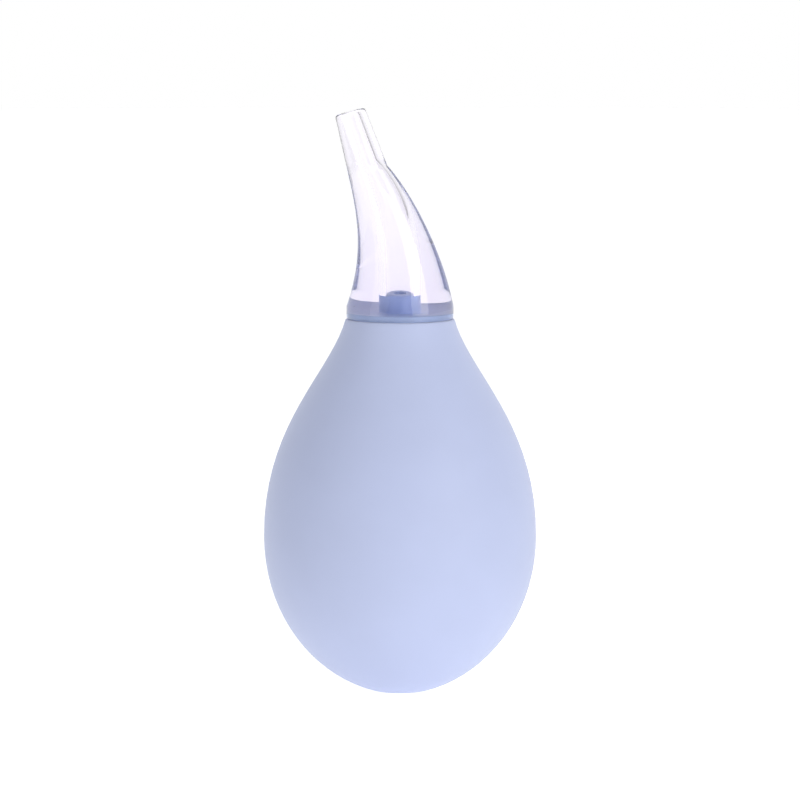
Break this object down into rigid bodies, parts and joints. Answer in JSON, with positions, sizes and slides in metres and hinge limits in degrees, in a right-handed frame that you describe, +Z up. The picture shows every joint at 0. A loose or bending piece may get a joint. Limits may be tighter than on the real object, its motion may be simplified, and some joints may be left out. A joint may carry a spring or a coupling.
{
  "type": "nasal aspirator",
  "caption": "Pear-shaped squeeze-bulb nasal aspirator with a soft bulb, a blue plug and a clear angled tip that turns and pulls off.",
  "frame": {"origin": "centre of the flat base that the bulb stands on", "axes": "+Z up the bulb's axis to the tip, the tip leans towards -X, the bulb is squeezed along Y"},
  "size_m": [0.055, 0.055, 0.1175],
  "materials": {
    "soft_blue": "matt, moulded",
    "plug_blue": "satin, moulded",
    "clear": "clear, polished"
  },
  "bodies": {
    "bulb": {"bulb_body": "soft_blue"},
    "front_wall": {"bulb_front_wall": "soft_blue"},
    "back_wall": {"bulb_back_wall": "soft_blue"},
    "plug": {"plug": "plug_blue"},
    "tip": {"clear_tip": "clear"}
  },
  "joints": [
    {"name": "front_squeeze", "type": "slide", "parent": "bulb", "child": "front_wall", "axis": [0, 1, 0], "range_m": [0, 0.011], "stiffness_N_per_m": 600},
    {"name": "back_squeeze", "type": "slide", "parent": "bulb", "child": "back_wall", "axis": [0, -1, 0], "range_m": [0, 0.011]},
    {"name": "tip_turn", "type": "hinge", "parent": "bulb", "child": "plug", "pos_m": [0, 0, 0.0753], "axis": [0, 0, 1], "continuous": true},
    {"name": "tip_pull", "type": "slide", "parent": "plug", "child": "tip", "axis": [0, 0, 1], "range_m": [0, 0.012]}
  ],
  "couplings": [
    {"joint": "back_squeeze", "follows": "front_squeeze", "ratio": 1}
  ]
}
